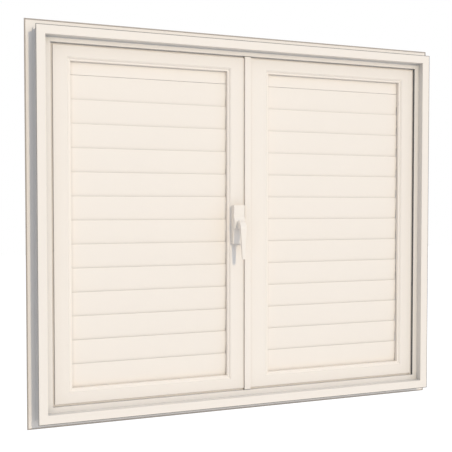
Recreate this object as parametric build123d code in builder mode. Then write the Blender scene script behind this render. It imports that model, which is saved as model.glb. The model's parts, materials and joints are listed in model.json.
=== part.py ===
from build123d import *
import os
from math import cos, radians, sin

# A pair of louvred shutters in their frame: mitred hollow aluminium sections, tilting blades,
# a cremone handle on the first leaf and flush bolts on the second.
# Millimetres. X runs along the facade, Y from the room to the outside, Z up.
# The origin is the middle of the sill's underside.
os.makedirs("parts", exist_ok=True)

# Shared sizes
overrun = 5
wall = 2
edge_break = 0.8
slide_gap = 0.3
pin_fit = 0.05
mitre_gap = 0.2

# Frame
frame_width = 1280
frame_height = 1124
frame_depth = 64
face_width = 25
stop_setback = 24
stop_thickness = 9
stop_width = 15
flange_overhang = 30
flange_thickness = 3
rib_reach = 5
rib_depth = 10
fixing_spacing = 860
fixing_radius = 3.5

# Stop gasket
gasket_width = 8
gasket_inset = 2

# Leaves
leaf_gap = 3
stop_joint = 3
face_setback = 29.5
leaf_thickness = 38.5
lip_width = 18
hinge_stile_width = 58.5
rail_width = 51
mullion_half = 59
meeting_gap = 1
meeting_bevel = 2

# Astragal over the meeting edge
astragal_width = 20
astragal_shift = 4
astragal_height = 6
astragal_round = 1.5
astragal_end_gap = 2
astragal_cap_length = 3

# Beads round each louvred opening
bead_width = 9.5
bead_drop = 15.5
bead_slope_width = 4.5
bead_land_drop = 4.5
bead_line = 0.5
bead_slope = 3.4
bead_round = 1

# Blades
blade_count = 13
infill_show = 39.3
sill_lap = 3.3
blade_overlap = 3
blade_tip = 2.6
blade_front_bow = 1.2
blade_back_bow = 3.5
blade_end_gap = 1
blade_tilt = 3.5
blade_setback = 49
blade_pin_radius = 2.5
blade_pin_gap = 0.5

# Link between the blades
crank_radius = 9
crank_rest_angle = -42.5
crank_lug_width = 7
crank_lug_thickness = 3
crank_pin_radius = 1.5
link_width = 6
link_thickness = 2.5
link_rail_gap = 1

# Pivot rails and the fixed strip above the blades
back_lip = 3
rail_strip_thickness = 3.5
infill_setback = 46
infill_thickness = 9
infill_lap_setback = 51
infill_slope = 0.4
infill_tip_gap = 1.7

# Hinges
hinge_height = 80
hinge_inset = 150
hinge_offset = 11
knuckle_radius = 6.5
knuckle_gap = 0.4
leaf_knuckle_height = 28
hinge_pin_radius = 3
hinge_plate_thickness = 3
frame_plate_reach = 36
leaf_plate_reach = 44
leaf_plate_gap = 6.5

# Handle
base_width = 35
base_height = 119
base_top_depth = 29
base_waist_depth = 28
base_hub_depth = 34
base_foot_depth = 19
base_under_depth = 25
base_bevel_depth = 13
base_bevel_height = 10
base_round = 1.5
handle_setback = 25.4
hub_flat = 12
hub_shoulder = 24
lever_width = 19.5
lever_tip_width = 8.5
lever_length = 105
lever_reach = 34
lever_head = 12
lever_neck_run = 8
lever_thickness = 11
lever_tip_thickness = 8
lever_bend_drop = 24
lever_inner_run = 11
lever_round = 1.8
spindle_radius = 3.5
spindle_depth = 12
spindle_relief = 0.5
pinion_radius = 9
pinion_thickness = 8

# Bolts
rod_width = 6
rod_depth = 10
rod_setback = 44
rod_overlap = 22
bolt_reach = 1
bolt_radius = 4
bolt_length = 170
bolt_setback = 47
bolt_wall_gap = 1.5
bolt_travel = 15
stud_radius = 2.5
stud_rise = 40
strike_thickness = 1.5
strike_margin = 12
strike_width = 24

# Levels along Y, worked out from the frame's front
front_y = -frame_depth / 2
facade_y = frame_depth / 2
flange_y = facade_y + flange_thickness
stop_y = front_y + stop_setback
stop_back_y = stop_y + stop_thickness
lip_y = stop_back_y + stop_joint
face_y = front_y + face_setback
back_y = face_y + leaf_thickness
bead_y = face_y + bead_drop
blade_y = front_y + blade_setback
back_lip_y = back_y - back_lip
hinge_y = facade_y + hinge_offset

# Places in X and Z
frame_box = (-frame_width / 2, frame_width / 2, 0, frame_height)
hinge_x = frame_width / 2 - face_width - leaf_gap / 2
leaf_edge_x = frame_width / 2 - face_width - leaf_gap
leaf_low = face_width + leaf_gap
leaf_high = frame_height - leaf_low
strip_x = -astragal_shift
second_edge_x = strip_x - astragal_width / 2
first_edge_x = second_edge_x - meeting_gap
lock_stile_width = mullion_half + first_edge_x
meeting_stile_width = mullion_half - second_edge_x
open_low = leaf_low + rail_width + bead_width
open_high = leaf_high - rail_width - bead_width
blade_pitch = (open_high - open_low - infill_show + sill_lap) / blade_count
blade_chord = blade_pitch + blade_overlap
hub_x = first_edge_x - handle_setback
hub_z = frame_height / 2
hub_y = face_y - base_hub_depth
rod_y = front_y + rod_setback
rod_offset = pinion_radius + slide_gap + rod_width / 2
bolt_y = front_y + bolt_setback
bolt_x = second_edge_x + meeting_bevel + wall + bolt_wall_gap + bolt_radius
hinge_rows = (leaf_low + hinge_inset, leaf_high - hinge_inset)
sides = ("left", "right", "bottom", "top")


def front_plane(y):
    # Sketch plane that faces the room, with X to the right and Z up.
    return Plane(origin=(0, y, 0), x_dir=(1, 0, 0), z_dir=(0, -1, 0))


def finish(piece, name):
    piece.part.label = name
    export_step(piece.part, f"parts/{name}.step")


def run_axis(side):
    return Axis.Z if side in ("left", "right") else Axis.X


def inward_axis(side):
    return Axis.X if side in ("left", "right") else Axis.Z


def mitred_outline(box, widths, side, start, end, trim=0):
    # One side of a mitred ring, from one distance in from its outer edge to another.
    west, east, south, north = box
    rows = []
    for distance in (start, end):
        share = distance / widths[side]
        w = west + share * widths["left"]
        e = east - share * widths["right"]
        s = south + share * widths["bottom"]
        n = north - share * widths["top"]
        rows.append({
            "left": [(w, s + trim), (w, n - trim)],
            "right": [(e, s + trim), (e, n - trim)],
            "bottom": [(w + trim, s), (e - trim, s)],
            "top": [(w + trim, n), (e - trim, n)],
        }[side])
    return rows[0] + rows[1][::-1]


def box_rectangle(box, inset=0, mode=Mode.ADD):
    west, east, south, north = box
    with Locations(((west + east) / 2, (south + north) / 2)):
        Rectangle(east - west - 2 * inset, north - south - 2 * inset, mode=mode)


def inner_edge(edges, side):
    ordered = edges.sort_by(inward_axis(side))
    return ordered[-1] if side in ("left", "bottom") else ordered[0]


# The lever turns towards the hinges, and the pinion then drives both rods outwards.
rod_places = {"top": hub_x - rod_offset, "bottom": hub_x + rod_offset}
# Height and outward direction of each flush bolt's thumb stud at rest
stud_places = {
    "top": (leaf_high - bolt_length + stud_rise, 1),
    "bottom": (leaf_low + bolt_length - stud_rise, -1),
}


def bolt_slots(z, rod_x):
    # Clearance cut for a rod and a flush bolt through the wall at one height.
    with BuildSketch(Plane.XY.offset(z)) as slots:
        with Locations((rod_x, rod_y)):
            Rectangle(rod_width + 2 * slide_gap, rod_depth + 2 * slide_gap)
        with Locations((bolt_x, bolt_y)):
            Circle(bolt_radius + slide_gap)
    extrude(slots.sketch, amount=2 * wall, both=True, mode=Mode.SUBTRACT)


# Frame
frame_widths = dict.fromkeys(sides, face_width)
frame_layers = (
    (stop_y, front_y, 0, face_width),
    (stop_back_y, stop_y, 0, face_width + stop_width),
    (facade_y, stop_back_y, 0, face_width),
    (facade_y, facade_y - rib_depth, -rib_reach, face_width),
    (flange_y, facade_y, -flange_overhang, face_width),
)
frame_names = {"left": "jamb_left", "right": "jamb_right", "bottom": "frame_sill", "top": "frame_head"}
for side in sides:
    with BuildPart() as frame_member:
        for back, front, start, end in frame_layers:
            with BuildSketch(front_plane(back)):
                with BuildLine():
                    Polyline(*mitred_outline(frame_box, frame_widths, side, start, end), close=True)
                make_face()
            extrude(amount=back - front)
        front_edges = frame_member.edges().filter_by(run_axis(side)).group_by(Axis.Y)[0]
        chamfer(front_edges, edge_break)
        with BuildSketch(front_plane(flange_y - wall)):
            with BuildLine():
                Polyline(
                    *mitred_outline(frame_box, frame_widths, side, wall, face_width - wall), close=True
                )
            make_face()
        extrude(amount=flange_y - front_y - 2 * wall, mode=Mode.SUBTRACT)
        if side in ("left", "right"):
            middle_y = (stop_back_y + facade_y) / 2
            jamb_x = frame_box[0] if side == "left" else frame_box[1]
            fixing_plane = Plane(origin=(jamb_x, middle_y, hub_z), x_dir=(0, 0, 1), z_dir=(1, 0, 0))
            with BuildSketch(fixing_plane):
                with GridLocations(fixing_spacing, fixing_spacing, 2, 1):
                    Circle(fixing_radius)
            extrude(amount=face_width + overrun, both=True, mode=Mode.SUBTRACT)
        else:
            rebate_z = face_width if side == "bottom" else frame_height - face_width
            bolt_slots(rebate_z, rod_places[side])
    finish(frame_member, frame_names[side])

# Stop gasket, one continuous ring behind the stop
gasket_outer = face_width + stop_width - gasket_inset - gasket_width
with BuildPart() as stop_gasket:
    with BuildSketch(front_plane(lip_y - slide_gap)):
        box_rectangle(frame_box, inset=gasket_outer)
        box_rectangle(frame_box, inset=gasket_outer + gasket_width, mode=Mode.SUBTRACT)
    extrude(amount=stop_joint - slide_gap)
finish(stop_gasket, "stop_gasket")

# Strike plates on the rebate of the head and the sill
with BuildPart() as strike_plates:
    for side in ("top", "bottom"):
        low_x = min(rod_places[side], bolt_x) - strike_margin
        high_x = max(rod_places[side], bolt_x) + strike_margin
        seat_z = face_width if side == "bottom" else frame_height - face_width - strike_thickness
        with BuildSketch(Plane.XY.offset(seat_z)):
            with Locations(((low_x + high_x) / 2, (rod_y + bolt_y) / 2)):
                Rectangle(high_x - low_x, strike_width)
            with Locations((rod_places[side], rod_y)):
                Rectangle(rod_width + 2 * slide_gap, rod_depth + 2 * slide_gap, mode=Mode.SUBTRACT)
            with Locations((bolt_x, bolt_y)):
                Circle(bolt_radius + slide_gap, mode=Mode.SUBTRACT)
        extrude(amount=strike_thickness)
finish(strike_plates, "strike_plates")


class Leaf:
    # Outline, section widths and inner edges of one leaf.
    def __init__(self, name):
        first = name == "left"
        self.name = name
        self.hinge_side = "left" if first else "right"
        self.free_side = "right" if first else "left"
        self.out = -1 if first else 1
        self.hinge_x = self.out * hinge_x
        west = -leaf_edge_x if first else second_edge_x
        east = first_edge_x if first else leaf_edge_x
        free_width = lock_stile_width if first else meeting_stile_width
        self.box = (west, east, leaf_low, leaf_high)
        self.widths = {"bottom": rail_width, "top": rail_width}
        self.widths[self.hinge_side] = hinge_stile_width
        self.widths[self.free_side] = free_width
        lip_west = lip_width if first else 0
        lip_east = 0 if first else lip_width
        face_low = leaf_low + lip_width
        face_high = leaf_high - lip_width
        self.face_box = (west + lip_west, east - lip_east, face_low, face_high)
        bevel_west = 0 if first else meeting_bevel
        bevel_east = meeting_bevel if first else 0
        self.hollow_box = (west + bevel_west, east - bevel_east, leaf_low, leaf_high)
        self.face_hollow = (
            west + lip_west + bevel_west, east - lip_east - bevel_east, face_low, face_high
        )
        self.rebate = (
            west + self.widths["left"],
            east - self.widths["right"],
            leaf_low + rail_width,
            leaf_high - rail_width,
        )
        self.blade_west = self.rebate[0] + bead_width + blade_end_gap
        self.blade_east = self.rebate[1] - bead_width - blade_end_gap
        self.hinge_wall_x = self.rebate[0] if first else self.rebate[1]
        self.blade_hinge_x = self.blade_west if first else self.blade_east


leaves = (Leaf("left"), Leaf("right"))
leaf_names = {"bottom": "bottom_rail", "top": "top_rail"}


def leaf_layer(leaf, side, back, front, end, clip, inset, mode):
    with BuildSketch(front_plane(back)) as layer:
        with BuildLine():
            Polyline(*mitred_outline(leaf.box, leaf.widths, side, 0, end), close=True)
        make_face()
        box_rectangle(clip, inset=inset, mode=Mode.INTERSECT)
    extrude(layer.sketch, amount=back - front, mode=mode)


def pivot_z(row):
    tip_rise = cos(radians(blade_tilt)) * blade_chord / 2
    return open_low - sill_lap + (row + 1) * blade_pitch - tip_rise


def bevel_free_edge(leaf):
    # Tapers the meeting edge towards the outside, so that each leaf swings past the other.
    edge_x = first_edge_x if leaf.name == "left" else second_edge_x
    with BuildSketch(Plane.XY.offset(leaf_low)) as wedge:
        with BuildLine():
            Polyline(
                (edge_x, face_y),
                (edge_x + leaf.out * meeting_bevel, back_y),
                (edge_x - leaf.out * overrun, back_y),
                (edge_x - leaf.out * overrun, face_y),
                close=True,
            )
        make_face()
    extrude(wedge.sketch, amount=leaf_high - leaf_low, mode=Mode.SUBTRACT)


for leaf in leaves:
    # Mitred stiles and rails
    for side in sides:
        width = leaf.widths[side]
        with BuildPart() as leaf_member:
            leaf_layer(leaf, side, back_y, lip_y, width, leaf.box, 0, Mode.ADD)
            leaf_layer(leaf, side, lip_y, face_y, width, leaf.face_box, 0, Mode.ADD)
            face_edges = leaf_member.edges().filter_by(run_axis(side)).group_by(Axis.Y)[0]
            chamfer(face_edges, edge_break)
            inner = width - wall
            hollow_front = lip_y + wall
            leaf_layer(leaf, side, back_y - wall, hollow_front, inner, leaf.hollow_box, wall, Mode.SUBTRACT)
            leaf_layer(leaf, side, hollow_front, face_y + wall, inner, leaf.face_hollow, wall, Mode.SUBTRACT)
            if side != leaf.hinge_side:
                bevel_free_edge(leaf)
            if side in ("left", "right"):
                west, east, south, north = leaf.rebate
                lip_x = west + bead_width / 2 if side == "left" else east - bead_width / 2
                with BuildSketch(front_plane(back_y)):
                    with Locations((lip_x, (south + north) / 2)):
                        Rectangle(bead_width, north - south)
                extrude(amount=back_lip)
            if side in ("bottom", "top"):
                edge_z = leaf_low if side == "bottom" else leaf_high
                with BuildSketch(Plane.XY.offset(edge_z)):
                    if leaf.name == "left":
                        with Locations((rod_places[side], rod_y)):
                            Rectangle(rod_width + 2 * slide_gap, rod_depth + 2 * slide_gap)
                    else:
                        with Locations((bolt_x, bolt_y)):
                            Circle(bolt_radius + pin_fit)
                extrude(amount=2 * wall, both=True, mode=Mode.SUBTRACT)
            elif side == leaf.free_side and leaf.name == "left":
                with BuildSketch(front_plane(face_y + 2 * wall)):
                    with Locations((hub_x, hub_z)):
                        Circle(spindle_radius + spindle_relief)
                extrude(amount=2 * wall + overrun, mode=Mode.SUBTRACT)
            elif side == leaf.free_side:
                slot_width = 2 * (stud_radius + slide_gap)
                for stud_z, way in stud_places.values():
                    slot_place = (second_edge_x + meeting_bevel, bolt_y, stud_z + way * bolt_travel / 2)
                    with BuildSketch(Plane(origin=slot_place, x_dir=(0, 0, 1), z_dir=(1, 0, 0))):
                        SlotOverall(bolt_travel + slot_width, slot_width)
                    extrude(amount=2 * wall, both=True, mode=Mode.SUBTRACT)
        stile_name = {leaf.hinge_side: "hinge_stile", leaf.free_side: "meeting_stile"}
        finish(leaf_member, f"{leaf.name}_{leaf_names.get(side) or stile_name[side]}")

    # Beads round the opening, with hairline mitres
    bead_widths = dict.fromkeys(sides, bead_width)
    with BuildPart() as beads:
        for side in sides:
            for back, front, end, softening in (
                (bead_y, face_y + bead_land_drop, bead_width, bead_round),
                (face_y + bead_land_drop, face_y + bead_line, bead_slope_width, bead_slope),
            ):
                with BuildSketch(front_plane(back)):
                    with BuildLine():
                        Polyline(
                            *mitred_outline(leaf.rebate, bead_widths, side, 0, end, mitre_gap), close=True
                        )
                    make_face()
                extrude(amount=back - front)
                front_edges = beads.edges(Select.LAST).filter_by(run_axis(side)).group_by(Axis.Y)[0]
                chamfer(inner_edge(front_edges, side), softening)
    finish(beads, f"{leaf.name}_beads")

    # Pivot rails, one against each stile between its bead and its back lip
    west, east, south, north = leaf.rebate
    with BuildPart() as pivot_rails:
        for wall_x, way in ((west, 1), (east, -1)):
            with BuildSketch(Plane(origin=(wall_x, 0, 0), x_dir=(0, way, 0), z_dir=(way, 0, 0))):
                with Locations((way * (bead_y + back_lip_y) / 2, (south + north) / 2)):
                    Rectangle(back_lip_y - bead_y, north - south)
                for row in range(blade_count):
                    with Locations((way * blade_y, pivot_z(row))):
                        Circle(blade_pin_radius + pin_fit, mode=Mode.SUBTRACT)
            extrude(amount=rail_strip_thickness)
    finish(pivot_rails, f"{leaf.name}_pivot_rails")

    # Fixed strip that fills the opening above the top blade
    strip_low = open_high - infill_show
    with BuildPart() as top_infill:
        with BuildSketch(Plane.YZ.offset(leaf.blade_west)):
            with BuildLine():
                Polyline(
                    (front_y + infill_setback, north),
                    (front_y + infill_setback, strip_low + infill_tip_gap + infill_slope),
                    (front_y + infill_lap_setback, strip_low + infill_tip_gap),
                    (front_y + infill_lap_setback, strip_low - blade_overlap),
                    (front_y + infill_setback + infill_thickness, strip_low - blade_overlap),
                    (front_y + infill_setback + infill_thickness, north),
                    close=True,
                )
            make_face()
        extrude(amount=leaf.blade_east - leaf.blade_west)
    finish(top_infill, f"{leaf.name}_top_infill")

    # Blades with their end pivots and the crank that the link drives
    crank_y = crank_radius * cos(radians(crank_rest_angle))
    crank_z = crank_radius * sin(radians(crank_rest_angle))
    tilt = radians(blade_tilt)
    pin_length = bead_width + blade_end_gap - blade_pin_gap
    lug_face_x = leaf.blade_hinge_x + leaf.out * crank_lug_thickness
    crank_pin_length = pin_length - rail_strip_thickness - crank_lug_thickness
    for row in range(blade_count):
        z = pivot_z(row)
        with BuildPart() as blade:
            blade_plane = Plane(
                origin=(leaf.blade_west, blade_y, z), x_dir=(0, cos(tilt), sin(tilt)), z_dir=(1, 0, 0)
            )
            with BuildSketch(blade_plane):
                with BuildLine():
                    half = blade_chord / 2
                    tip = blade_tip / 2
                    ThreePointArc((-tip, half), (-tip - blade_front_bow, 0), (-tip, -half))
                    ThreePointArc((-tip, -half), (0, -half - tip), (tip, -half))
                    ThreePointArc((tip, -half), (tip + blade_back_bow, 0), (tip, half))
                    ThreePointArc((tip, half), (0, half + tip), (-tip, half))
                make_face()
            extrude(amount=leaf.blade_east - leaf.blade_west)
            for end_x, way in ((leaf.blade_west, -1), (leaf.blade_east, 1)):
                with BuildSketch(Plane(origin=(end_x, blade_y, z), x_dir=(0, 1, 0), z_dir=(way, 0, 0))):
                    Circle(blade_pin_radius)
                extrude(amount=pin_length)
            lug_plane = Plane(
                origin=(leaf.blade_hinge_x, blade_y, z), x_dir=(0, crank_y, crank_z), z_dir=(leaf.out, 0, 0)
            )
            with BuildSketch(lug_plane):
                with Locations((crank_radius / 2, 0)):
                    SlotCenterToCenter(crank_radius, crank_lug_width)
            extrude(amount=crank_lug_thickness)
            crank_plane = Plane(
                origin=(lug_face_x, blade_y + crank_y, z + crank_z), x_dir=(0, 1, 0), z_dir=(leaf.out, 0, 0)
            )
            with BuildSketch(crank_plane):
                Circle(crank_pin_radius)
            extrude(amount=crank_pin_length)
        finish(blade, f"{leaf.name}_blade_{row + 1:02d}")

    # Link bar that keeps the blades parallel
    link_x = leaf.hinge_wall_x - leaf.out * (rail_strip_thickness + link_rail_gap)
    link_z = (pivot_z(0) + pivot_z(blade_count - 1)) / 2 + crank_z
    with BuildPart() as link_bar:
        link_plane = Plane(
            origin=(link_x, blade_y + crank_y, link_z), x_dir=(0, 0, 1), z_dir=(-leaf.out, 0, 0)
        )
        with BuildSketch(link_plane):
            SlotCenterToCenter((blade_count - 1) * blade_pitch, link_width)
            with GridLocations(blade_pitch, blade_pitch, blade_count, 1):
                Circle(crank_pin_radius + pin_fit, mode=Mode.SUBTRACT)
        extrude(amount=link_thickness)
    finish(link_bar, f"{leaf.name}_link_bar")

    # Leaf halves of the hinges, screwed to the back of the hinge stile
    plate_x = leaf.hinge_x - leaf.out * (leaf_plate_gap + leaf_plate_reach / 2)
    with BuildPart() as hinge_leaf_plates:
        for row_z in hinge_rows:
            with BuildSketch(Plane.XY.offset(row_z - hinge_height / 2)):
                with Locations((plate_x, back_y + hinge_plate_thickness / 2)):
                    Rectangle(leaf_plate_reach, hinge_plate_thickness)
            extrude(amount=hinge_height)
            with BuildSketch(Plane.XY.offset(row_z - leaf_knuckle_height / 2)):
                with Locations((leaf.hinge_x - leaf.out * leaf_plate_gap / 2, (back_y + hinge_y) / 2)):
                    Rectangle(leaf_plate_gap, hinge_y - back_y)
                with Locations((leaf.hinge_x, hinge_y)):
                    Circle(knuckle_radius)
                    Circle(hinge_pin_radius + pin_fit, mode=Mode.SUBTRACT)
            extrude(amount=leaf_knuckle_height)
    finish(hinge_leaf_plates, f"{leaf.name}_hinge_plates")

# Frame halves of the hinges, each with its pin
frame_knuckle = (hinge_height - leaf_knuckle_height) / 2 - knuckle_gap
with BuildPart() as hinge_frame_plates:
    for leaf in leaves:
        for row_z in hinge_rows:
            plate_low = row_z - hinge_height / 2
            plate_x = leaf.hinge_x + leaf.out * (knuckle_radius + frame_plate_reach / 2)
            with BuildSketch(Plane.XY.offset(plate_low)):
                with Locations((plate_x, flange_y + hinge_plate_thickness / 2)):
                    Rectangle(frame_plate_reach, hinge_plate_thickness)
            extrude(amount=hinge_height)
            for knuckle_low in (plate_low, plate_low + hinge_height - frame_knuckle):
                with BuildSketch(Plane.XY.offset(knuckle_low)):
                    web_x = leaf.hinge_x + leaf.out * knuckle_radius / 2
                    with Locations((web_x, (flange_y + hinge_y) / 2)):
                        Rectangle(knuckle_radius, hinge_y - flange_y)
                    with Locations((leaf.hinge_x, hinge_y)):
                        Circle(knuckle_radius)
                extrude(amount=frame_knuckle)
            with BuildSketch(Plane.XY.offset(plate_low)):
                with Locations((leaf.hinge_x, hinge_y)):
                    Circle(hinge_pin_radius)
            extrude(amount=hinge_height)
finish(hinge_frame_plates, "hinge_frame_plates")

# Astragal on the second leaf's meeting edge
astragal_low = face_width + stop_width + astragal_end_gap
astragal_high = frame_height - astragal_low
with BuildPart() as astragal:
    with BuildSketch(Plane.XY.offset(astragal_low + astragal_cap_length)):
        with Locations((strip_x, face_y - astragal_height / 2)):
            Rectangle(astragal_width, astragal_height)
    extrude(amount=astragal_high - astragal_low - 2 * astragal_cap_length)
    strip_edges = astragal.edges().filter_by(Axis.Z).group_by(Axis.Y)[0]
    fillet(strip_edges, astragal_round)
finish(astragal, "astragal")

with BuildPart() as astragal_caps:
    for cap_z in (astragal_low, astragal_high - astragal_cap_length):
        with BuildSketch(Plane.XY.offset(cap_z)):
            with Locations((strip_x, face_y - astragal_height / 2)):
                Rectangle(astragal_width, astragal_height)
        extrude(amount=astragal_cap_length)
    cap_edges = astragal_caps.edges().filter_by(Axis.Z).group_by(Axis.Y)[0]
    fillet(cap_edges, astragal_round)
finish(astragal_caps, "astragal_caps")

# Handle base, drawn in its side profile
base_low = hub_z - base_height / 2
base_high = hub_z + base_height / 2
with BuildPart() as handle_base:
    with BuildSketch(Plane.YZ.offset(hub_x - base_width / 2)):
        with BuildLine():
            Polyline(
                (face_y, base_low),
                (face_y - base_foot_depth, base_low),
                (face_y - base_under_depth, hub_z - hub_flat - base_round),
                (hub_y, hub_z - hub_flat),
                (hub_y, hub_z + hub_flat),
                (face_y - base_waist_depth, hub_z + hub_shoulder),
                (face_y - base_top_depth, base_high),
                (face_y - base_bevel_depth, base_high),
                (face_y, base_high - base_bevel_height),
                close=True,
            )
        make_face()
    extrude(amount=base_width)
    side_edges = handle_base.edges().filter_by(Axis.X, reverse=True)
    fillet(side_edges.filter_by(lambda edge: edge.center().Y < face_y - base_bevel_depth), base_round)
    with BuildSketch(front_plane(face_y)):
        with Locations((hub_x, hub_z)):
            Circle(spindle_radius + pin_fit)
    extrude(amount=base_hub_depth, mode=Mode.SUBTRACT)
finish(handle_base, "handle_base")

# Lever: its side profile cut by its front outline
neck_y = hub_y - slide_gap
grip_front_y = neck_y - lever_reach
with BuildPart() as lever:
    with BuildSketch(Plane.YZ.offset(hub_x - lever_width / 2)):
        with BuildLine():
            Line((neck_y, hub_z + lever_head), (neck_y - lever_neck_run, hub_z + lever_head))
            TangentArc(
                (neck_y - lever_neck_run, hub_z + lever_head),
                (grip_front_y, hub_z - lever_head),
                tangent=(-1, 0),
            )
            Line((grip_front_y, hub_z - lever_head), (grip_front_y, hub_z - lever_length))
            Line(
                (grip_front_y, hub_z - lever_length),
                (grip_front_y + lever_tip_thickness, hub_z - lever_length),
            )
            Line(
                (grip_front_y + lever_tip_thickness, hub_z - lever_length),
                (grip_front_y + lever_thickness, hub_z - lever_bend_drop),
            )
            TangentArc(
                (neck_y - lever_inner_run, hub_z - lever_head),
                (grip_front_y + lever_thickness, hub_z - lever_bend_drop),
                tangent=(-1, 0),
            )
            Line((neck_y - lever_inner_run, hub_z - lever_head), (neck_y, hub_z - lever_head))
            Line((neck_y, hub_z - lever_head), (neck_y, hub_z + lever_head))
        make_face()
    extrude(amount=lever_width)
    with BuildSketch(front_plane(neck_y)):
        with BuildLine():
            broad = lever_width / 2
            slim = lever_tip_width / 2
            ThreePointArc((hub_x - broad, hub_z), (hub_x, hub_z + lever_head), (hub_x + broad, hub_z))
            Line((hub_x + broad, hub_z), (hub_x + broad, hub_z - lever_head))
            Line((hub_x + broad, hub_z - lever_head), (hub_x + slim, hub_z - lever_length))
            Line((hub_x + slim, hub_z - lever_length), (hub_x - slim, hub_z - lever_length))
            Line((hub_x - slim, hub_z - lever_length), (hub_x - broad, hub_z - lever_head))
            Line((hub_x - broad, hub_z - lever_head), (hub_x - broad, hub_z))
        make_face()
    extrude(amount=lever_reach, mode=Mode.INTERSECT)
    grip_edges = lever.edges().filter_by(lambda edge: edge.center().Z < hub_z - lever_bend_drop)
    fillet(grip_edges, lever_round)
    with BuildSketch(front_plane(neck_y)):
        with Locations((hub_x, hub_z)):
            Circle(spindle_radius + pin_fit)
    extrude(amount=spindle_depth, mode=Mode.SUBTRACT)
finish(lever, "lever")

# Spindle with the pinion that drives both rods
with BuildPart() as spindle:
    with BuildSketch(front_plane(rod_y + pinion_thickness / 2)):
        with Locations((hub_x, hub_z)):
            Circle(pinion_radius)
    extrude(amount=pinion_thickness)
    with BuildSketch(front_plane(rod_y)):
        with Locations((hub_x, hub_z)):
            Circle(spindle_radius)
    extrude(amount=rod_y - neck_y + spindle_depth)
finish(spindle, "spindle")

# Locking rods of the first leaf
for side, low, high in (
    ("top", hub_z - rod_overlap, leaf_high + bolt_reach),
    ("bottom", leaf_low - bolt_reach, hub_z + rod_overlap),
):
    with BuildPart() as rod:
        with BuildSketch(Plane.XY.offset(low)):
            with Locations((rod_places[side], rod_y)):
                Rectangle(rod_width, rod_depth)
        extrude(amount=high - low)
    finish(rod, f"rod_{side}")

# Flush bolts of the second leaf, each with its thumb stud
bolt_lows = {"top": leaf_high + bolt_reach - bolt_length, "bottom": leaf_low - bolt_reach}
for side, low in bolt_lows.items():
    with BuildPart() as flush_bolt:
        with BuildSketch(Plane.XY.offset(low)):
            with Locations((bolt_x, bolt_y)):
                Circle(bolt_radius)
        extrude(amount=bolt_length)
        stud_place = (bolt_x, bolt_y, stud_places[side][0])
        with BuildSketch(Plane(origin=stud_place, x_dir=(0, 1, 0), z_dir=(-1, 0, 0))):
            Circle(stud_radius)
        extrude(amount=bolt_x - second_edge_x - meeting_bevel)
    finish(flush_bolt, f"flush_bolt_{side}")
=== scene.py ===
import json
import math

import bmesh
import bpy
from mathutils import Matrix, Vector


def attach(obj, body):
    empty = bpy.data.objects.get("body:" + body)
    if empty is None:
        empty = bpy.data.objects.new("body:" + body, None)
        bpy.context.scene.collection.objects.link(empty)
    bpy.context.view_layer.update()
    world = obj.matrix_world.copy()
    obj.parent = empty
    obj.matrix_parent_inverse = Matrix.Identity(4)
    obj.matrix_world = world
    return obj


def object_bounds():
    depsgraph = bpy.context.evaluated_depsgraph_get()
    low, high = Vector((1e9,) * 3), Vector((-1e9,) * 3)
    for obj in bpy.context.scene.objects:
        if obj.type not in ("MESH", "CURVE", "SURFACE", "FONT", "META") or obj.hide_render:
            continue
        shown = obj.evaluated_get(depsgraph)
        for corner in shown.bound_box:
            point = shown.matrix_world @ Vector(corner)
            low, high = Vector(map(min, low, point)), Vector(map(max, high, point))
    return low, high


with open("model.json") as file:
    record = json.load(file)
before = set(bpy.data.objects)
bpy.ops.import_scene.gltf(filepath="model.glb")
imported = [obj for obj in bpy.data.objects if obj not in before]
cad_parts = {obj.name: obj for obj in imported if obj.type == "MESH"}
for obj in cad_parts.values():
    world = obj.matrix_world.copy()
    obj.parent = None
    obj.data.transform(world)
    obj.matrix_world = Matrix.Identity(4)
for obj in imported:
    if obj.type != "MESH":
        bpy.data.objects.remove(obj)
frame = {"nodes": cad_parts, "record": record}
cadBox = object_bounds()

white = (1.0, 1.0, 1.0)
noiseMiddle = 0.5   # the value that a noise swings round
mixSockets = {"amount": 0, "first": 6, "second": 7, "result": 2}   # a Mix node's sockets for colours


class Wire:
    # a shader socket that can be used in sums
    def __init__(self, tree, socket=None):
        self.tree = tree
        self.socket = socket

    def node(self, kind, settings=None, inputs=None, output=0):
        made = self.tree.nodes.new("ShaderNode" + kind)
        for key, value in (settings or {}).items():
            setattr(made, key, value)
        for key, value in (inputs or {}).items():
            if isinstance(value, Wire):
                self.tree.links.new(value.socket, made.inputs[key])
            else:
                made.inputs[key].default_value = value
        return Wire(self.tree, made.outputs[output] if made.outputs else None)

    def maths(self, operation, first, second):
        return self.node("Math", {"operation": operation}, {0: first, 1: second})

    def __add__(self, other):
        return self.maths("ADD", self, other)

    def __radd__(self, other):
        return self.maths("ADD", other, self)

    def __sub__(self, other):
        return self.maths("SUBTRACT", self, other)

    def __rsub__(self, other):
        return self.maths("SUBTRACT", other, self)

    def __mul__(self, other):
        return self.maths("MULTIPLY", self, other)

    def __rmul__(self, other):
        return self.maths("MULTIPLY", other, self)


def shade(colour, share=1.0):
    return (*[part * share for part in colour], 1.0)


def tint(wire, amount, first, second):
    # one colour turning into another
    ends = {mixSockets["amount"]: amount, mixSockets["first"]: first, mixSockets["second"]: second}
    return wire.node("Mix", {"data_type": "RGBA"}, ends, mixSockets["result"])


def noise(wire, place, scale, detail):
    return wire.node("TexNoise", None, {"Vector": place, "Scale": scale, "Detail": detail})


def swing(grain, amount):
    # a noise's swing to either side
    return (grain - noiseMiddle) * amount


def relief(wire, height, strength, depth):
    return wire.node("Bump", None, {"Strength": strength, "Distance": depth, "Height": height})


def startFinish(name):
    finish = bpy.data.materials.new(name)
    finish.use_nodes = True
    finish.node_tree.nodes.clear()
    wire = Wire(finish.node_tree)
    place = wire.node("TexCoord", output="Object")   # the piece's own coordinates, in metres
    return finish, wire, place


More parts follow.
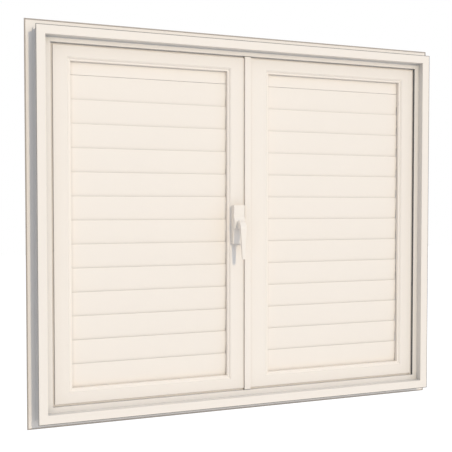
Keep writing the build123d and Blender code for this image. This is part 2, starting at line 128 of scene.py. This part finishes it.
def endFinish(wire, surface):
    wire.node("OutputMaterial", None, {"Surface": surface})


# Powder coat: fine peel of the sprayed film, slow drift of tone and gloss, and painted shade in the
# creases.
# The painted shade is darkest where things within its reach cover a set share of a point's view.
sprayedFilm = {
    "patchDetail": 3.0, "peelDetail": 1.0, "peelStrength": 0.5, "paintedShadeSamples": 16,
    "coatRoughness": 0.5, "ior": 1.45, "specular": 0.4,
}
creamCoat = {
    **sprayedFilm, "colour": (0.915, 0.842, 0.760), "drift": 0.985, "roughness": 0.60, "glossDrift": 0.10,
    "peelScale": 620.0, "peelDepth": 0.00005, "patchScale": 5.0, "coat": 0.06,
}
# each coat's painted shade: how far it looks for cover, how much cover makes it full, and the grey-blue
# tint it turns the colour to; the leaves' wide reach paints the soft shade along the stop
coatLooks = {
    "cream_coat": {
        **creamCoat, "paintedShadeReach": 0.030, "paintedShadeFull": 1.0, "paintedShadeTint": (0.56, 0.61, 0.67),
        "revealShadeReach": 0.120,
    },
    "leafCoat": {
        **creamCoat, "paintedShadeReach": 0.090, "paintedShadeFull": 0.25, "paintedShadeTint": (0.91, 0.91, 0.91),
    },
    "beadCoat": {
        **creamCoat, "paintedShadeReach": 0.010, "paintedShadeFull": 1.0, "paintedShadeTint": (0.97, 0.98, 0.99),
    },
    "bladeCoat": {
        **creamCoat, "paintedShadeReach": 0.010, "paintedShadeFull": 1.0, "paintedShadeTint": (0.67, 0.69, 0.72),
    },
    "handle_coat": {
        **sprayedFilm, "colour": (0.910, 0.840, 0.760), "drift": 0.990, "roughness": 0.38,
        "glossDrift": 0.08, "peelScale": 900.0, "peelDepth": 0.00003, "patchScale": 22.0, "coat": 0.10,
        "paintedShadeReach": 0.020, "paintedShadeFull": 1.0, "paintedShadeTint": (0.60, 0.65, 0.70),
    },
    "hinge_coat": {
        **sprayedFilm, "colour": (0.865, 0.790, 0.706), "drift": 0.975, "roughness": 0.44,
        "glossDrift": 0.10, "peelScale": 760.0, "peelDepth": 0.00005, "patchScale": 18.0, "coat": 0.06,
        "paintedShadeReach": 0.020, "paintedShadeFull": 1.0, "paintedShadeTint": (0.55, 0.60, 0.66),
    },
}
# where the frame's painted shade reaches further: its reveals, between its front and its stop, further in
# from the flange's outer edge than this inset, and nearer to the room than this depth
revealPlace = {"inset": 0.0545, "depth": -0.0090}


def revealShadeMask(wire, place):
    low, high = cadBox
    middle = (0, 0, (low[2] + high[2]) / 2)
    offset = wire.node("VectorMath", {"operation": "SUBTRACT"}, {0: place, 1: middle})
    across = wire.node("VectorMath", {"operation": "ABSOLUTE"}, {0: offset})
    limits = (
        (across, "X", high[0] - revealPlace["inset"]),
        (across, "Z", high[2] - middle[2] - revealPlace["inset"]),
        (place, "Y", revealPlace["depth"]),
    )
    inWidth, inHeight, inFront = [
        wire.maths("LESS_THAN", wire.node("SeparateXYZ", None, {0: spot}, axis), limit)
        for spot, axis, limit in limits
    ]
    return inWidth * inHeight * inFront


def powderCoat(name, look):
    finish, wire, place = startFinish(name)
    patch = noise(wire, place, look["patchScale"], look["patchDetail"])
    peel = noise(wire, place, look["peelScale"], look["peelDetail"])
    unshadedColour = tint(wire, patch, shade(look["colour"]), shade(look["colour"], look["drift"]))
    reach = look["paintedShadeReach"]
    # in the reveals the painted shade looks further, to darken them as the shade there does
    if "revealShadeReach" in look:
        reach = reach + revealShadeMask(wire, place) * (look["revealShadeReach"] - reach)
    # painted shade: the less of the room a point sees within the reach, the more its colour greys towards
    # the shade tint
    free = wire.node("AmbientOcclusion", {"samples": look["paintedShadeSamples"]}, {"Distance": reach}, "AO")
    paintedShade = wire.maths("MINIMUM", (1 - free) * (1 / look["paintedShadeFull"]), 1.0)
    shadeColour = [part * share for part, share in zip(look["colour"], look["paintedShadeTint"])]
    colour = tint(wire, paintedShade, unshadedColour, shade(shadeColour))   # painted shade greys the corners and joints, by how little of the room each point sees
    roughness = look["roughness"] + swing(patch, look["glossDrift"]) + swing(peel, look["glossDrift"])
    surface = wire.node("BsdfPrincipled", None, {
        "Base Color": colour, "Roughness": roughness,
        "Normal": relief(wire, peel, look["peelStrength"], look["peelDepth"]),
        "Coat Weight": look["coat"], "Coat Roughness": look["coatRoughness"],
        "IOR": look["ior"], "Specular IOR Level": look["specular"],
    })
    endFinish(wire, surface)
    return finish


# Bare metal: lines of rolling or drawing along the piece
rolledLines = {
    "lineScale": 1.0, "lineDetail": 3.0, "lineStrength": 0.4, "patchScale": 40.0, "patchDetail": 3.0,
}
metalLooks = {
    "steel": {
        **rolledLines, "colour": (0.620, 0.615, 0.600), "dull": 0.86, "roughness": 0.34, "lineDrift": 0.16,
        "stretch": (900.0, 900.0, 6.0), "depth": 0.00002,
    },
    "bare_aluminium": {
        **rolledLines, "colour": (0.760, 0.760, 0.765), "dull": 0.90, "roughness": 0.38, "lineDrift": 0.18,
        "stretch": (1200.0, 1200.0, 5.0), "depth": 0.00002,
    },
}


def drawnMetal(name, look):
    finish, wire, place = startFinish(name)
    along = wire.node("VectorMath", {"operation": "MULTIPLY"}, {0: place, 1: look["stretch"]})
    lines = noise(wire, along, look["lineScale"], look["lineDetail"])
    patch = noise(wire, place, look["patchScale"], look["patchDetail"])
    colour = tint(wire, lines * patch, shade(look["colour"]), shade(look["colour"], look["dull"]))
    surface = wire.node("BsdfPrincipled", None, {
        "Base Color": colour, "Metallic": 1.0,
        "Roughness": look["roughness"] + swing(lines, look["lineDrift"]),
        "Normal": relief(wire, lines, look["lineStrength"], look["depth"]),
    })
    endFinish(wire, surface)
    return finish


# Moulded nylon, and the rubber of the stop gasket and the soft seals
mouldedGrain = {
    "grainDetail": 2.0, "grainStrength": 0.5, "glossDrift": 0.2, "patchScale": 25.0, "patchDetail": 2.0,
}
sealRubber = {
    **mouldedGrain, "roughness": 0.70, "grainScale": 1500.0, "grainDepth": 0.00006, "specular": 0.3,
}
mouldedLooks = {
    "nylon": {
        **mouldedGrain, "colour": (0.800, 0.740, 0.665), "pale": (0.850, 0.790, 0.715), "roughness": 0.55,
        "grainScale": 1400.0, "grainDepth": 0.00004, "specular": 0.4,
    },
    "gasket": {
        **mouldedGrain, "colour": (0.018, 0.018, 0.019), "pale": (0.034, 0.034, 0.035), "roughness": 0.72,
        "grainScale": 1800.0, "grainDepth": 0.00006, "specular": 0.3,
    },
    "facadeSeal": {**sealRubber, "colour": (0.420, 0.370, 0.325), "pale": (0.480, 0.425, 0.375)},
    "edgeSeal": {**sealRubber, "colour": (0.270, 0.250, 0.230), "pale": (0.310, 0.285, 0.262)},
    # the jamb seal's near-black rubber stands in for the shade in the gap between stop and leaf
    "jambSealShade": {**sealRubber, "colour": (0.095, 0.097, 0.100), "pale": (0.115, 0.117, 0.120)},
}


def mouldedSkin(name, look):
    finish, wire, place = startFinish(name)
    grain = noise(wire, place, look["grainScale"], look["grainDetail"])
    patch = noise(wire, place, look["patchScale"], look["patchDetail"])
    surface = wire.node("BsdfPrincipled", None, {
        "Base Color": tint(wire, patch, shade(look["colour"]), shade(look["pale"])),
        "Roughness": look["roughness"] + swing(grain, look["glossDrift"]),
        "Normal": relief(wire, grain, look["grainStrength"], look["grainDepth"]),
        "Specular IOR Level": look["specular"],
    })
    endFinish(wire, surface)
    return finish


# the cream pieces whose painted shade in corners and joints reaches and darkens otherwise than the
# frame's,
# by a part of their names: the first coat that fits is taken
coatParts = {
    "beadCoat": ("_beads",),
    "bladeCoat": ("_blade_", "_top_infill"),
    "leafCoat": ("left_", "right_", "astragal"),
}


def finishFor(node, slotName):
    if slotName == "cream_coat":
        for coat, parts in coatParts.items():
            if any(part in node for part in parts):
                return coat
    return slotName


finishes = {}
for makeFinish, looks in ((powderCoat, coatLooks), (drawnMetal, metalLooks), (mouldedSkin, mouldedLooks)):
    for finishName, look in looks.items():
        finishes[finishName] = makeFinish(finishName, look)
for subpart in frame["record"]["subparts"]:
    materials = frame["nodes"][subpart["node"]].data.materials
    materials.clear()
    materials.append(finishes[finishFor(subpart["node"], subpart["material_slot"])])
print("finishes laid on:", len(finishes))


def meshFrom(shape, name):
    mesh = bpy.data.meshes.new(name)
    shape.to_mesh(mesh)
    shape.free()
    return mesh


def addObject(name, data):
    added = bpy.data.objects.new(name, data)
    bpy.context.scene.collection.objects.link(added)
    return added


# Raised screw heads with a cross recess, on the hinges and the strike plates
screwLook = {
    "headRadius": 0.0042, "headRise": 0.0004, "dome": 0.0005, "rings": 4, "sides": 24,
    "slotLength": 0.0046, "slotWidth": 0.0010, "slotDepth": 0.0006,
}


def screwMesh(look):
    shape = bmesh.new()
    angles = [2 * math.pi * side / look["sides"] for side in range(look["sides"])]
    rings = []
    for ring in range(look["rings"]):
        climb = ring / look["rings"] * math.pi / 2
        radius = look["headRadius"] * math.cos(climb)
        rise = look["headRise"] + look["dome"] * math.sin(climb)
        rings.append([
            shape.verts.new((radius * math.cos(angle), radius * math.sin(angle), rise)) for angle in angles
        ])
    tip = shape.verts.new((0, 0, look["headRise"] + look["dome"]))
    foot = [shape.verts.new((vert.co.x, vert.co.y, 0)) for vert in rings[0]]
    shape.faces.new(list(reversed(foot)))
    rings = [foot, *rings, [tip]]
    for lower, upper in zip(rings, rings[1:]):
        for side in range(look["sides"]):
            after = (side + 1) % look["sides"]
            top = [tip] if upper == [tip] else [upper[after], upper[side]]
            shape.faces.new([lower[side], lower[after], *top])
    return meshFrom(shape, "screwHead")


def crossCutter(look):
    shape = bmesh.new()
    top = Matrix.Translation((0, 0, look["headRise"] + look["dome"]))
    slot = Matrix.Diagonal((look["slotLength"], look["slotWidth"], 2 * look["slotDepth"], 1))
    for turn in (0, math.pi / 2):
        bmesh.ops.create_cube(shape, size=1, matrix=Matrix.Rotation(turn, 4, "Z") @ top @ slot)
    return addObject("crossCutter", meshFrom(shape, "crossCutter"))


def screwHead(look):
    # the recess is cut once, into the head that all screws share
    pattern = addObject("screwPattern", screwMesh(look))
    cutter = crossCutter(look)
    cut = pattern.modifiers.new("cross", "BOOLEAN")
    cut.object = cutter
    cut.solver = "EXACT"
    cut.use_self = True   # the cutter's two bars cross each other
    bpy.context.view_layer.update()
    shown = pattern.evaluated_get(bpy.context.evaluated_depsgraph_get())
    head = bpy.data.meshes.new_from_object(shown)
    bpy.data.objects.remove(cutter)
    bpy.data.objects.remove(pattern)
    head.materials.append(finishes["steel"])
    return head


def placeScrew(head, name, place, outward, turn, body):
    screw = addObject(name, head)
    face = Vector(outward).to_track_quat("Z", "Y").to_matrix().to_4x4()
    screw.matrix_world = Matrix.Translation(place) @ face @ Matrix.Rotation(turn, 4, "Z")
    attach(screw, body)


solidSearch = {"weld": 1e-6, "decimals": 4}


def solidBoxes(node):
    # one box for each separate solid of a node
    shape = bmesh.new()
    shape.from_mesh(frame["nodes"][node].data)
    bmesh.ops.remove_doubles(shape, verts=shape.verts, dist=solidSearch["weld"])
    left = set(shape.verts)
    boxes = []
    while left:
        group = [left.pop()]
        low = group[0].co.copy()
        high = low.copy()
        while group:
            vert = group.pop()
            for axis in range(3):
                low[axis] = min(low[axis], vert.co[axis])
                high[axis] = max(high[axis], vert.co[axis])
            for edge in vert.link_edges:
                other = edge.other_vert(vert)
                if other in left:
                    left.remove(other)
                    group.append(other)
        boxes.append((low, high))
    shape.free()
    # by their lowest corners, so that the order is the same each run
    return sorted(boxes, key=lambda box: [round(place, solidSearch["decimals"]) for place in box[0]])


# three screws up each plate; a reach is the distance in from the edge away from the knuckle
hingeScrews = {
    "plate": 0.003, "rows": (0.13, 0.5, 0.87), "firstTurn": 0.4, "turnStep": 0.9,
    "frameReach": (0.012, 0.030, 0.012), "leafReach": (0.012, 0.018, 0.012),
}
hingePlates = (
    ("hinge_frame_plates", "frame", "frameReach"),
    ("left_hinge_plates", "left_leaf", "leafReach"),
    ("right_hinge_plates", "right_leaf", "leafReach"),
)


def dressHinges(head, look):
    count = 0
    for node, body, reach in hingePlates:
        for low, high in solidBoxes(node):
            onLeft = abs(low.x) > abs(high.x)
            # counted from the outer edge of the frame's plates and the inner edge of the leaves'
            edge, inward = (low.x, 1) if onLeft == (body == "frame") else (high.x, -1)
            for share, shift in zip(look["rows"], look[reach]):
                place = (edge + inward * shift, low.y + look["plate"], low.z + share * (high.z - low.z))
                turn = look["firstTurn"] + look["turnStep"] * count
                placeScrew(head, f"hingeScrew{count:02d}", place, (0, 1, 0), turn, body)
                count += 1
    return count


strikeScrews = {"inset": 0.006, "turnStep": 0.7}


def dressStrikes(head, look):
    count = 0
    middle = (cadBox[0][2] + cadBox[1][2]) / 2
    for low, high in solidBoxes("strike_plates"):
        face, way = (low.z, -1) if low.z > middle else (high.z, 1)
        for x in (low.x + look["inset"], high.x - look["inset"]):
            place = (x, (low.y + high.y) / 2, face)
            turn = look["turnStep"] * count
            placeScrew(head, f"strikeScrew{count}", place, (0, 0, way), turn, "frame")
            count += 1
    return count


head = screwHead(screwLook)
print("screws set:", dressHinges(head, hingeScrews) + dressStrikes(head, strikeScrews))


# Soft seals: one on the flange's face that meets the facade, one round the outer edge of the front,
# and one along each jamb's stop, on the edge that the leaf closes past; that one is near-black to paint
# the shade in the gap between stop and leaf.
# A profile starts at a distance in from the flange's outer edge and at a depth,
# and runs and swells from there.
ringSides = ((0, 1), (1, 2), (2, 3), (3, 0))   # from corner to corner, starting lower left
jambSides = ((1, 2), (3, 0))
sealLooks = {
    "facadeSeal": {
        "start": (0.0, 0.0320), "run": (1, 0), "swell": (0, -1),
        "width": 0.0040, "rise": 0.0010, "square": 1.0, "steps": 8, "sides": ringSides,
    },
    "edgeSeal": {
        "start": (0.0300, -0.0318), "run": (0, 1), "swell": (-1, 0),
        "width": 0.0040, "rise": 0.0015, "square": 0.35, "steps": 12, "sides": ringSides,
    },
    # a real seal strip, made near-black as painted shade for the gap between stop and leaf
    "jambSealShade": {
        "start": (0.0700, -0.0060), "run": (0, 1), "swell": (1, 0),
        "width": 0.0055, "rise": 0.0003, "square": 0.45, "steps": 12, "sides": jambSides,
    },
}


def sealProfile(look):
    points = []
    for step in range(look["steps"] + 1):
        turn = math.pi * step / look["steps"]
        across = math.copysign(abs(math.cos(turn)) ** look["square"], math.cos(turn))
        run = look["width"] * (1 - across) / 2
        swell = look["rise"] * abs(math.sin(turn)) ** look["square"]
        points.append([
            place + run * ahead + swell * out
            for place, ahead, out in zip(look["start"], look["run"], look["swell"])
        ])
    return points


def laySeal(name, look):
    (west, _, south), (east, _, north) = cadBox
    shape = bmesh.new()
    loops = []
    for inset, y in sealProfile(look):
        corners = [
            (west + inset, south + inset), (east - inset, south + inset),
            (east - inset, north - inset), (west + inset, north - inset),
        ]
        loops.append([shape.verts.new((x, y, z)) for x, z in corners])
    for lower, upper in zip(loops, loops[1:] + loops[:1]):
        for corner, after in look["sides"]:
            shape.faces.new([lower[corner], lower[after], upper[after], upper[corner]])
    if look["sides"] != ringSides:
        for end in zip(*loops):
            shape.faces.new(end)   # closes a strip
    bmesh.ops.recalc_face_normals(shape, faces=shape.faces)
    mesh = meshFrom(shape, name)
    mesh.materials.append(finishes[name])
    seal = addObject(name, mesh)
    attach(seal, "frame")


for sealName, look in sealLooks.items():
    laySeal(sealName, look)
print("seals laid:", len(sealLooks))


# Camera as in the photograph: standing left of the frame, looking a little down
cameraLook = {
    "place": (-0.74895, -1.99562, 0.61592), "yaw": 18.70, "pitch": -1.608, "lens": 54.04, "sensor": 36.0,
}


def placeCamera(look):
    data = bpy.data.cameras.new("camera")
    data.lens = look["lens"]
    data.sensor_width = look["sensor"]
    camera = addObject("camera", data)
    camera.location = look["place"]
    tilt = 90 + look["pitch"]   # an unturned camera looks straight down
    camera.rotation_euler = (math.radians(tilt), 0, math.radians(-look["yaw"]))
    bpy.context.scene.camera = camera


# Key light in front, a little right and above, and one for the outside; the rest comes from the room
lampLooks = {
    "keyLight": {
        "place": (0.45, -4.30, 1.80), "towards": (0.0, 0.0, 0.56), "size": 0.175,
        "spread": 180, "power": 3.8, "colour": (1.0, 0.86, 0.64),
    },
    "rearLight": {
        "place": (1.70, 4.00, 1.90), "towards": (0.0, 0.0, 0.56), "size": 0.80,
        "spread": 40, "power": 0.23, "colour": (1.0, 0.92, 0.82),
    },
}


def placeLamp(name, look):
    lamp = bpy.data.lights.new(name, "AREA")
    lamp.shape = "DISK"
    lamp.size = look["size"]
    lamp.spread = math.radians(look["spread"])
    lamp.energy = look["power"]
    lamp.color = look["colour"]
    lamp.use_nodes = True
    lamp.node_tree.nodes.clear()
    beam = Wire(lamp.node_tree)
    even = beam.node("LightFalloff", None, {"Strength": 1.0}, "Constant")   # as bright near as far
    glow = beam.node("Emission", None, {"Color": shade(white), "Strength": even})
    beam.node("OutputLight", None, {"Surface": glow})
    holder = addObject(name, lamp)
    holder.location = look["place"]
    aim = Vector(look["towards"]) - Vector(look["place"])
    holder.rotation_euler = aim.to_track_quat("-Z", "Y").to_euler()


def seenDirectly(wire):
    # 1 for what the camera, a reflection or a clear pane sees
    camera, glossy, through = [
        wire.node("LightPath", output=ray)
        for ray in ("Is Camera Ray", "Is Glossy Ray", "Is Transmission Ray")
    ]
    return wire.maths("MINIMUM", camera + glossy + through, 1.0)


roomLook = {"colour": (0.784, 0.868, 1.0), "strength": 0.56, "from": (0.68, -0.45, 0.50)}


def lightRoom(look):
    world = bpy.data.worlds.new("room")
    world.use_nodes = True
    world.node_tree.nodes.clear()
    wire = Wire(world.node_tree)
    outwards = wire.node("TexCoord", output="Generated")
    facing = wire.node("VectorMath", {"operation": "DOT_PRODUCT"}, {0: outwards, 1: look["from"]}, "Value")
    strength = look["strength"] * (1 + facing)   # brighter above, in front and to the right
    lit = wire.node("Background", None, {"Color": shade(look["colour"]), "Strength": strength})
    backdrop = wire.node("Background", None, {"Color": shade(white), "Strength": 1.0})
    mixed = wire.node("MixShader", None, {0: seenDirectly(wire), 1: lit, 2: backdrop})
    wire.node("OutputWorld", None, {"Surface": mixed})
    bpy.context.scene.world = world


# Pale floor; what is seen directly is mostly its own glow, so that only a faint shadow shows
floorLook = {
    "drop": 0.90, "size": 40.0, "pale": 0.80, "drift": 0.97, "driftScale": 0.8, "driftDetail": 3.0,
    "shadowPart": 0.25, "glow": 0.93,
}


def layFloor(look):
    mesh = bpy.data.meshes.new("floor")
    half = look["size"] / 2
    level = -look["drop"]
    corners = [(-half, -half, level), (half, -half, level), (half, half, level), (-half, half, level)]
    mesh.from_pydata(corners, [], [(0, 1, 2, 3)])
    floor = addObject("floor", mesh)
    finish, wire, place = startFinish("floorPaint")
    drift = noise(wire, place, look["driftScale"], look["driftDetail"])
    pale = tint(wire, drift, shade(white, look["pale"]), shade(white, look["pale"] * look["drift"]))
    plain = wire.node("BsdfDiffuse", None, {"Color": pale})
    shadow = wire.node("BsdfDiffuse", None, {"Color": shade(white, look["shadowPart"])})
    glow = wire.node("Emission", None, {"Color": shade(white), "Strength": look["glow"]})
    shown = wire.node("AddShader", None, {0: shadow, 1: glow})
    surface = wire.node("MixShader", None, {0: seenDirectly(wire), 1: plain, 2: shown})
    endFinish(wire, surface)
    mesh.materials.append(finish)


placeCamera(cameraLook)
for lampName, look in lampLooks.items():
    placeLamp(lampName, look)
lightRoom(roomLook)
layFloor(floorLook)
bpy.context.scene.view_settings.view_transform = "Standard"
print("camera, lights and floor in place")
